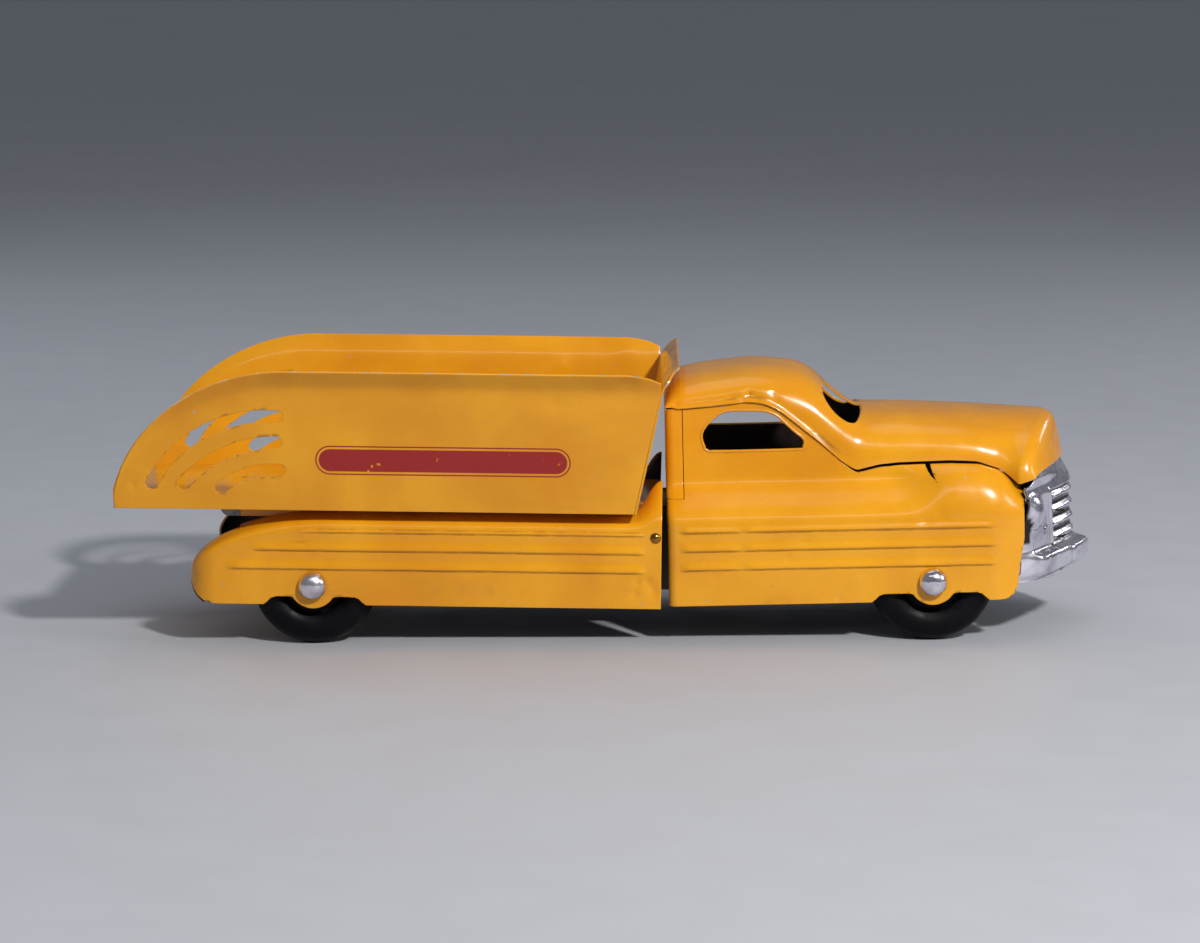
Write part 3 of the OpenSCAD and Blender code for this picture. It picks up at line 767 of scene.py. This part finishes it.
def window_outline(count=120):
    """The window's outline once round, taken from a curve that overlaps its own start."""
    closed = WINDOW[-2:] + WINDOW + WINDOW[:2]
    ring = rounded(closed, count * 2)
    start = min(range(count), key=lambda k: math.dist(ring[k], WINDOW[0]))
    end = min(range(count, len(ring)), key=lambda k: math.dist(ring[k], WINDOW[-1]))
    return [tuple(float(v) for v in p) for p in ring[start:end + 1]]


def window_rim():
    """The sheet's edge rolled into a fine bead round the window."""
    path = window_outline(60)
    sides, points, faces = 8, [], []
    m = len(path)
    for k, (x, z) in enumerate(path):
        before, after = path[k - 1], path[(k + 1) % m]
        d = Vector((after[0] - before[0], 0, after[1] - before[1])).normalized()
        out = Vector((d.z, 0, -d.x))
        y = -body_half(z) + 0.25
        for s in range(sides):
            a = 2 * math.pi * s / sides
            points.append(Vector((x, y, z)) + out * 0.55 * math.cos(a)
                          + Vector((0, 1, 0)) * 0.55 * math.sin(a))
    for k in range(m):
        for s in range(sides):
            a, b = k * sides + s, k * sides + (s + 1) % sides
            c, d = (k + 1) % m * sides + (s + 1) % sides, (k + 1) % m * sides + s
            faces.append((a, b, c, d))
    ring = solid("rim", points, faces)
    outward(ring)
    return ring


def cab_sides(paint, inside):
    dents = [((23.7, -37, 58.6), 1.3, 0.6), ((24.5, -39, 54.0), 1.5, 0.7),
             ((27.8, -38, 52.6), 1.2, 0.4), ((37.0, -46.5, 25.4), 1.3, 0.25),
             ((68.9, -46.5, 38.0), 1.4, 0.2), ((80.3, -46.5, 16.9), 1.4, 0.25),
             ((62.2, -46.5, 31.5), 1.4, 0.2), ((25.9, -46.5, 40.4), 1.3, 0.25),
             ((111.0, -46.5, 43.9), 2.2, 0.35), ((115.5, -45.5, 46.0), 2.4, 0.4),
             ((118.0, -40, 55.5), 2.6, -0.35), ((112.5, -37, 58.5), 2.0, 0.5)]
    xs = spaced((20.4, 0.3), (24.8, 1.0), (118, 1.0), (128, 0.9), (145.6,))
    side = sheet("cab_side", worked([cab_side_row(x) for x in xs], dents, 0.15, 24.0, 11.0),
                 inside_shade=True)
    door = solid("cutter", [(x, y, z) for x in (19, 26.6) for y in (-60, 0) for z in (52, 92)],
                 [(0, 1, 3, 2), (4, 6, 7, 5), (0, 4, 5, 1), (2, 3, 7, 6), (0, 2, 6, 4),
                  (1, 5, 7, 3)])
    nose = [(135, 14), (136.3, 15), (138.4, 15.1), (139.8, 15.6), (141.2, 16.4), (142.2, 17.7),
            (142.8, 19.5), (143.2, 21.9), (144.2, 29), (145.6, 36.1), (148, 36), (148, 12),
            (135, 12)]
    tear = [(111.2, 63.5), (111.6, 61.2), (112.3, 59.6), (113.4, 58.0), (114.7, 56.9),
            (114.1, 58.4), (113.5, 60.0), (113.2, 61.6), (113.3, 63.5)]
    side = cut(side, door, prism(window_outline(), -50, -20), arch(FRONT_X, 92.2, 132),
               prism(disc(FRONT_X, HUB_Z, 2.3), -60, -30), prism(nose, -60, -30),
               prism(tear, -60, -30))
    side = join("cab_side_right_pressing", side, window_rim())
    other = mirrored_copy(side, "cab_side_left_pressing")
    finish(side, CAB, "chassis", [paint, inside], ["cab_side_right"])
    finish(other, CAB, "chassis", [paint, inside], ["cab_side_left"])


ROOF = ((20.2, 83.8), (20.8, 86.4), (22.4, 89.4), (24, 91.2), (26.3, 92.7), (33.6, 94.3),
        (48.1, 95.8), (55.3, 96), (66.1, 95), (69.7, 94.1), (73.2, 92.3), (76.8, 89.2),
        (83.9, 82.8), (88.6, 79.7), (91.8, 79.2), (105.5, 78.9), (127.2, 77.9), (141.6, 77),
        (152.4, 76.3), (157.1, 75.9), (159.6, 74.9), (160.7, 73.4), (161.7, 70.8), (162.8, 66),
        (163.4, 62.4), (163.9, 59.4))
POWER = ((20, 2.6), (70, 2.8), (85, 3.2), (95, 2.6), (140, 2.3), (164, 2.1))


def roof_row(x):
    """Half an arch from the seam to the middle, bowed back at its sides towards the nose."""
    bow = 14 * smooth((x - 118) / 42)
    xs = x - bow
    e = 2 / at(x, POWER, 4)
    gap = 0.45 + 0.4 * smooth((xs - 84) / 5) * smooth((134 - xs) / 8)
    low = seam(min(xs, 143.6)) + 0.3 * max(0.0, xs - 144.4) + gap
    half = body_half(low) + 3 * smooth((xs - 136) / 12)
    soft = 1.3 if 26 < x < 155 else 0.2
    top = max(at(x, ROOF, soft), low + 0.2)
    row = []
    for a in np.linspace(0, 90, 44):
        c, s = math.cos(math.radians(a)), math.sin(math.radians(a))
        y = half * max(c, 1e-6) ** e
        z = low + (top - low) * max(s, 1e-6) ** e
        lap = 1.15 * math.exp(-((z - low) / 1.0) ** 2) * smooth((90 - x) / 20) * smooth((x - 22) / 3)
        row.append((x - bow * (y / half) ** 1.5, -y - lap, z))
    return row


def roof_and_hood(paint, inside):
    xs = spaced((20.2, 0.3), (26.3, 0.9), (118, 1.1), (156, 0.45), (163.9,))
    grid = []
    for x in xs:
        row = roof_row(x)
        grid.append(row + [(a, -b, c) for a, b, c in row[-2::-1]])
    dents = [((47.5, -33.5, 85.2), 1.4, 0.55), ((50.6, -32.0, 87.6), 1.5, 0.7),
             ((53.6, -32.5, 86.2), 1.2, 0.45), ((58.8, -31.0, 86.9), 1.5, 0.5),
             ((44.5, -33.0, 86.4), 1.6, 0.3), ((24.5, -33.0, 84.6), 1.3, 0.4),
             ((127.4, -20.0, 75.0), 3.0, 0.25), ((132.9, -23.0, 73.0), 3.0, 0.3),
             ((146.0, -31.0, 62.0), 4.0, 0.7), ((150.5, -27.0, 66.0), 2.6, -0.4),
             ((157.5, -20.0, 64.0), 1.6, 0.5), ((159.5, -12.0, 66.0), 1.8, 0.5),
             ((86.0, -33.5, 66.0), 5.0, 0.3)]
    hood = sheet("roof_and_hood_pressing", worked(grid, dents, 0.15, 28.0, 23.0),
                 inside_shade=True)
    lean = (Matrix.Translation((82.5, 0, 82)) @ Matrix.Rotation(math.radians(45), 4, "Y")
            @ Matrix(((1, 0, 0, 0), (0, 0, 1, 0), (0, -1, 0, 0), (0, 0, 0, 1))))
    # outline: down the slope, then out to the side
    glass = rounded([(8.0, 3), (8.0, 14), (8.0, 25.5), (7.2, 28.6), (4.5, 29.8), (0, 29.6),
                     (-4.0, 28.0), (-6.8, 25.2), (-7.9, 21), (-8.0, 14), (-8.0, 3)], 60)
    panes = []
    for side in (-1, 1):
        outline = [(float(a), float(side * b)) for a, b in glass]
        panes.append(prism(outline, -8, 8, lean))
    hood = cut(hood, *panes)
    finish(hood, CAB, "chassis", [paint, inside], ["roof_and_hood"])


def cab_back(paint, inside):
    rows = []
    for z in spaced((52.2, 0.8), (60, 2.0), (82.9,)):
        h = body_half(z)
        side = [(26.4, h)] + [(23.4 - 3 * math.sin(math.radians(a)),
                               h - 3 + 3 * math.cos(math.radians(a)))
                              for a in np.linspace(0, 90, 12)]
        flat = [(20.4, y) for y in np.linspace(h - 3, 3 - h, 40)[1:-1]]
        rows.append([(x, y, z) for x, y in side]
                    + [(x, y, z) for x, y in flat]
                    + [(x, -y, z) for x, y in side[::-1]])
    grid = np.array(rows).transpose(1, 0, 2)
    dents = [((22.0, -34.5, 80.0), 2.2, 0.3), ((22.0, -38.0, 55.0), 2.0, 0.4)]
    back = sheet("cab_back_panel", worked(grid, dents, 0.12, 24.0, 31.0), inside_shade=True)
    finish(back, CAB, "chassis", [paint, inside], ["cab_back"])


NOSE = ((20.5, 168.6), (21.6, 171.4), (22.8, 172.6), (27.2, 172.9), (28.6, 172.4), (29.6, 171.2),
        (30.6, 170.2), (45.8, 169.4), (49.6, 169.4), (52.6, 168.4), (55, 167.1), (59.2, 165))


def ridge(z):
    """How far out the grille's bars stand at height z, from 0 between them to 1 on them."""
    return math.exp(-((((z - 30.6) / 4.9) % 1.0 - 0.40) / 0.27) ** 2)


# Where painted shade falls on the grille: between its bars and in the gap at its sides by the
# fenders.
def grille_recess_shade(p):
    side = abs(p.y)
    between = smooth((23.4 - side) / 0.6) * (1 - smooth((ridge(p.z) - 0.10) / 0.45))
    between *= smooth((p.z - 30.4) / 0.5) * smooth((49.8 - p.z) / 0.6)
    edge = 38.7 + 1.2 * smooth((p.z - 39) / 5)
    return max(between, smooth((side - edge) / 0.5) * smooth((p.z - 32.5) / 1.5))


def grille_row(y, z):
    """The top edge drops towards its corners; the bumper hangs lower beside its middle block."""
    side = abs(y)
    low = (2.9 - 0.045 * side) * smooth((side - 14.2) / 2.8) * smooth((32 - z) / 3)
    return z - 6 * smooth((side - 32) / 7) * max(0, z - 45) / 14.2 - low


def grille_point(y, z):
    side = abs(y)
    sweep = 21 * (side / 40) ** 1.25 * (0.95 - 0.15 * smooth((z - 52) / 4))
    x = at(z, NOSE, 0.6) - sweep - 2.3
    turn = 2.6 * smooth((49 - z) / 6) + 3.4 * smooth((33 - z) / 3)
    x -= turn * (max(0.0, side - 38) / 2.4) ** 2
    open_part = smooth((23.2 - side) / 1.0) * smooth((z - 30.4) / 0.6) * smooth((50.0 - z) / 0.8)
    x += open_part * ((1.1 + 0.7 * smooth(side / 5)) * ridge(z) - 1.1)
    frame_line = math.exp(-((side - 24.3) / 0.8) ** 2) * smooth((z - 30) / 2) * smooth((52 - z) / 3)
    x += 0.9 * frame_line
    d = math.hypot(side - 36.6, z - 43.8) / 6.0
    x += 3.0 * (1 - d * d) if d < 1 else 0
    x += 0.5 * math.exp(-((d - 1.05) / 0.10) ** 2)
    block = 1.5 * smooth((40 - side) / 4) + 1.2 * smooth((16.8 - side) / 2.0)
    x += smooth((30 - z) / 1.4) * block
    return (x, y, z)


def grille_and_bumper(plate, inside):
    ys = spaced((-40.4, 0.55), (40.4,))
    zs = spaced((20.5, 0.3), (59.2,))
    grid = [[grille_point(y, grille_row(y, z)) for z in zs] for y in ys]
    crumple = []
    spots = ((-34, 27, 1.6), (-31, 24, 1.4), (-37, 23.5, 1.5), (-35.5, 29, 1.2), (-28, 26, 1.5),
             (-21, 24, 1.4), (-24, 29.5, 1.3), (-17, 28, 1.5), (30, 25, 1.5), (22, 27.5, 1.4),
             (-27.5, 38.5, 1.2), (-29.5, 36.5, 1.0), (-36, 41, 1.6), (-6, 26, 1.6), (9, 24, 1.4))
    for y, z, r in spots:
        x = grille_point(y, z)[0]
        crumple.append(((x, y, z), r, 0.26))
    piece = sheet("grille_and_bumper_stamping",
                  worked(grid, crumple, 0.22, 9.0, 41.0), inside_shade=True)
    piece = cut(piece, *[prism(disc(y, 37.6, 0.9, 16), 140, 180, FORWARD) for y in (-28.6, 28.6)])
    finish(piece, CAB, "chassis", [plate, inside], ["grille_and_bumper"], sharp=60,
           recess_shade=grille_recess_shade)


# ---- wheels, caps and axles ----

def lathe(name, profile, count=96):
    """Turns a closed (radius, along) profile about the local Z axis."""
    points, faces = [], []
    m = len(profile)
    for k in range(count):
        a = 2 * math.pi * k / count
        points += [(r * math.cos(a), r * math.sin(a), z) for r, z in profile]
    for k in range(count):
        for j in range(m):
            a, b = k * m + j, k * m + (j + 1) % m
            c, d = (k + 1) % count * m + (j + 1) % m, (k + 1) % count * m + j
            faces.append((a, b, c, d))
    piece = solid(name, points, faces)
    outward(piece)
    return piece


def dome(name, profile, count=64):
    """Turns an open (radius, along) profile, whose ends lie on the axis, about Z."""
    points = [(0, 0, profile[0][1])]
    faces = []
    inner = profile[1:-1]
    m = len(inner)
    for k in range(count):
        a = 2 * math.pi * k / count
        points += [(r * math.cos(a), r * math.sin(a), z) for r, z in inner]
    last = len(points)
    points.append((0, 0, profile[-1][1]))
    for k in range(count):
        n = (k + 1) % count
        faces.append((0, 1 + k * m, 1 + n * m))
        for j in range(m - 1):
            faces.append((1 + k * m + j, 1 + k * m + j + 1, 1 + n * m + j + 1, 1 + n * m + j))
        faces.append((1 + k * m + m - 1, last, 1 + n * m + m - 1))
    piece = solid(name, points, faces)
    outward(piece)
    return piece


def wheel_profile():
    """Round tyre, a moulded step, a dished web and the hub boss, as (radius, along) points."""
    half = []
    for a in np.linspace(0, 128, 26):
        r = 16 + 6 * math.cos(math.radians(a))
        z = 6 * math.sin(math.radians(a))
        half.append((r, z))
    half += [(12.0, 4.55), (11.65, 4.2), (11.35, 3.6), (11.0, 2.9), (10.4, 2.6), (8.0, 2.45),
             (6.4, 2.6), (5.6, 3.0), (5.15, 3.8), (5.0, 5.4), (4.85, 6.6), (4.4, 6.95),
             (2.9, 7.0), (2.35, 6.7)]
    back = [(r, -z) for r, z in half[::-1] if z > 0]
    return half + back


def wheels(rubber):
    for name, x, side, body in (("front_wheel_right", FRONT_X, -1, "front_wheel_r"),
                                ("front_wheel_left", FRONT_X, 1, "front_wheel_l"),
                                ("rear_wheel_right", REAR_X, -1, "rear_wheel_r"),
                                ("rear_wheel_left", REAR_X, 1, "rear_wheel_l")):
        piece = lathe(name + "_moulding", wheel_profile())
        turn = Matrix.Rotation(math.radians(-90 * side), 4, "X")
        place = Matrix.Translation((x, side * 38, HUB_Z)) @ turn
        finish(piece, place, body, [rubber], [name], False, 50)


def caps(plate):
    profile = [(0, 0.0), (2.3, 0.0), (4.6, 0.0), (4.9, 0.1)]
    for a in np.linspace(6, 90, 20):
        c, s = math.cos(math.radians(a)), math.sin(math.radians(a))
        profile.append((4.96 * c ** 0.9, 0.1 + 3.66 * s))
    for name, x, body in (("front_axle_caps", FRONT_X, "front_axle_set"),
                          ("rear_axle_caps", REAR_X, "rear_axle_set")):
        pair = []
        for side in (-1, 1):
            cap = dome("cap", profile)
            turn = Matrix.Rotation(math.radians(-90 * side), 4, "X")
            cap.data.transform(Matrix.Translation((x, side * 47.3, HUB_Z)) @ turn)
            pair.append(cap)
        piece = join(name + "_domes", *pair)
        finish(piece, LEVEL, body, [plate], [name], False, 50)


# ---- bed ----

BED_TIP, WALL_RUN, BED_NOSE = -173.75, 60.0, 8.0
BED_LEAN = 0.2043
FLOOR_Z, BEND_Z, LIP_Z = 49.0, 92.6, 98.6
LIP_SHARE = ((-173.75, 0.05), (-168, 0.25), (-156, 0.45), (-142, 0.7), (-113.75, 1.0))
SLOTS = ((-119.4, 36.8, 46, 86, 153), (-115.8, 29.5, 44, 91, 140), (-118, 35.9, 27.6, 85, 132))


def wall_y(z):
    """The half width between the bed's leaning walls at height z."""
    return 49 + (z - FLOOR_Z) * math.tan(math.radians(7))


def rise(x, top):
    """The height that the wall's top edge has reached at x on its way up from the tail."""
    if x >= BED_TIP + WALL_RUN:
        return top
    c = min(1.0, (BED_TIP + WALL_RUN - x) / WALL_RUN)
    return FLOOR_Z + (top - FLOOR_Z) * (1 - c ** 1.88) ** (1 / 1.88)


def wall_row(x0):
    """One upright line of the wall: from the floor, up to the bend and out along the lip."""
    ahead = BED_LEAN * smooth((x0 + 24) / 32)
    lip_x = x0 + ahead * (BEND_Z - FLOOR_Z)
    drop_out = at(lip_x, ((-3, 0), (4, 0.25), (9, 0.7), (13, 1.5), (16.9, 2.6)), 1.0)
    drop_down = at(lip_x, ((-3, 0), (4, 0.15), (9, 0.5), (13, 1.2), (16.9, 3.0)), 1.0)
    bend, lip = rise(x0, BEND_Z), rise(x0, LIP_Z) - drop_down
    share = at(x0, LIP_SHARE, 2.0)
    foot = wall_y(FLOOR_Z)
    at_bend = wall_y(bend)
    edge = at_bend + share * (58.5 - wall_y(BEND_Z)) - drop_out * share
    reach = max(lip - bend, 0.05)
    radius = min(2.6, 0.42 * reach)
    over = [(wall_y(bend - radius), bend - radius), (at_bend + 0.12 * radius * share, bend),
            (at_bend + (edge - at_bend) * min(0.6, radius / reach), bend + radius),
            (edge, max(lip, bend + radius * 1.05))]
    wall = np.array([[foot + (over[0][0] - foot) * t, FLOOR_Z + (over[0][1] - FLOOR_Z) * t]
                     for t in np.linspace(0, 1, 34, endpoint=False)])
    return [(x0 + ahead * (min(z, BEND_Z) - FLOOR_Z), -y, z)
            for y, z in np.vstack([wall, rounded(over, 14)])]


def slot_outline(cx, cz, r, right, left):
    """An arc-shaped slot about (cx, cz), from the angle right to left, as (x, z) points."""
    half = 2.2
    arc = np.radians(np.linspace(right, left, 40))
    outline = [(cx + (r + half) * math.cos(a), cz + (r + half) * math.sin(a)) for a in arc]
    end = (cx + r * math.cos(arc[-1]), cz + r * math.sin(arc[-1]))
    for k in range(1, 8):
        a = arc[-1] + math.pi * k / 8
        reach = half * (1 - 0.35 * math.sin(math.pi * k / 8))
        outline.append((end[0] + reach * math.cos(a), end[1] + reach * math.sin(a)))
    outline += [(cx + (r - half) * math.cos(a), cz + (r - half) * math.sin(a))
                for a in arc[::-1]]
    start = (cx + r * math.cos(arc[0]), cz + r * math.sin(arc[0]))
    for k in range(1, 8):
        a = arc[0] + math.pi + math.pi * k / 8
        outline.append((start[0] + half * math.cos(a), start[1] + half * math.sin(a)))
    lean = math.cos(math.radians(7))
    return [(x, FLOOR_Z + (z - FLOOR_Z) * lean) for x, z in outline]


def bed_tub(paint):
    xs = ([BED_TIP + WALL_RUN * (1 - math.cos(math.radians(a)))
           for a in np.linspace(5, 90, 70, endpoint=False)]
          + spaced((BED_TIP + WALL_RUN, 1.8), (-24, 1.2), (BED_NOSE,)))
    dents = [((-166.6, -50, 57.4), 1.2, 0.3), ((-117.0, -51, 60.0), 1.6, 0.35),
             ((-20.0, -54, 88.0), 3.0, 0.4), ((5.0, -56.0, 96.0), 4.0, 0.5)]
    wall = sheet("wall", worked([wall_row(x) for x in xs], dents, 0.22, 40.0, 51.0))
    wall = cut(wall, *[prism(slot_outline(*s), -62, -44) for s in SLOTS])
    other = mirrored_copy(wall, "other")
    half = 48.9
    profile = rounded([(-half, 49.45), (-48.7, 49.65), (-48, 49.8), (-46, 49.8)], 10)
    profile = np.vstack([profile, [(y, 49.8) for y in spaced((-43, 3.0), (43,))],
                         profile[::-1] * [-1, 1]])
    floor = sheet("floor_sheet", worked([[(x, y, z) for y, z in profile]
                                         for x in spaced((BED_TIP, 2.2), (BED_NOSE,))],
                                        [((-70, 15, 49.8), 14, 0.25), ((-20, -20, 49.8), 12, 0.2)],
                                        0.06, 35.0, 61.0))
    floor = cut(floor, *[prism(disc(-136.0, y, 1.0, 20), 40, 60, UPWARD) for y in (-18.6, 18.6)])
    piece = join("bed_tub_pressing", wall, other, floor)
    round_edges(piece)
    for v in piece.data.vertices:
        v.co.x = max(v.co.x, BED_TIP + 0.02)
    finish(piece, REAR, "bed", [paint], ["bed_tub"], bevel=False)


def bed_front(paint):
    slope = math.atan(BED_LEAN)
    up = 46 / math.cos(slope)
    flare = math.radians(32)
    bend = [(0, up - 2.2), (0.25, up - 0.9), (0.9, up + 0.35),
            (math.sin(flare) * 4.0, up + math.cos(flare) * 3.4),
            (math.sin(flare) * 7.5, up - 0.3 + math.cos(flare) * 7.5)]
    path = np.vstack([[(0, v) for v in np.linspace(0, up - 2.4, 20)], rounded(bend, 18)])
    grid = []
    for share in np.linspace(-1, 1, 64):
        row = []
        for out, v in path:
            z = v * math.cos(slope)
            half = wall_y(FLOOR_Z + min(z, 46)) - 0.1
            over = max(0.0, v - up) / 6.5
            half -= 10 * smooth(over) * over if over > 0 else 0
            row.append((out, share * half, v))
        grid.append(row)
    dented = worked(grid, [((3, -50, up + 3), 4, 0.6)], 0.18, 26.0, 71.0)
    wall = sheet("bed_front_panel", dented + np.array([SHEET, 0, 0]))
    place = Matrix.Translation((BED_NOSE + 0.05, 0, FLOOR_Z)) @ Matrix.Rotation(slope, 4, "Y")
    finish(wall, REAR @ place, "bed", [paint], ["bed_front"])


# ---- build ----

def colour_nodes(material, *names):
    """Gives CAD nodes that stay visible one material each."""
    for name in names:
        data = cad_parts[name].data
        data.materials.clear()
        data.materials.append(material)
        data.polygons.foreach_set("material_index", [0] * len(data.polygons))


make_camera()
make_stage()
paint = enamel("enamel_body")
bed_paint = enamel("enamel_bed", marked=True)
inside = shaded_inside()
nickel = plated()
SKINS = (paint, inside)

rear_shell(paint, inside)
cab_sides(paint, inside)
roof_and_hood(paint, inside)
cab_back(paint, inside)
grille_and_bumper(nickel, inside)
wheels(black_wheel())
caps(nickel)
bed_tub(bed_paint)
bed_front(bed_paint)

colour_nodes(dark_lacquer(), "frame_channel", "cab_channel")
colour_nodes(plated("old_brass", (0.52, 0.25, 0.05), (0.16, 0.07, 0.02)), "cross_pin")
colour_nodes(bare_steel(), "hinge_pin", "bed_lug_rivets", "deck_lug_rivets", "front_axle",
             "rear_axle", "front_axle_spacer", "rear_axle_spacer", "bed_lugs", "deck_lugs")
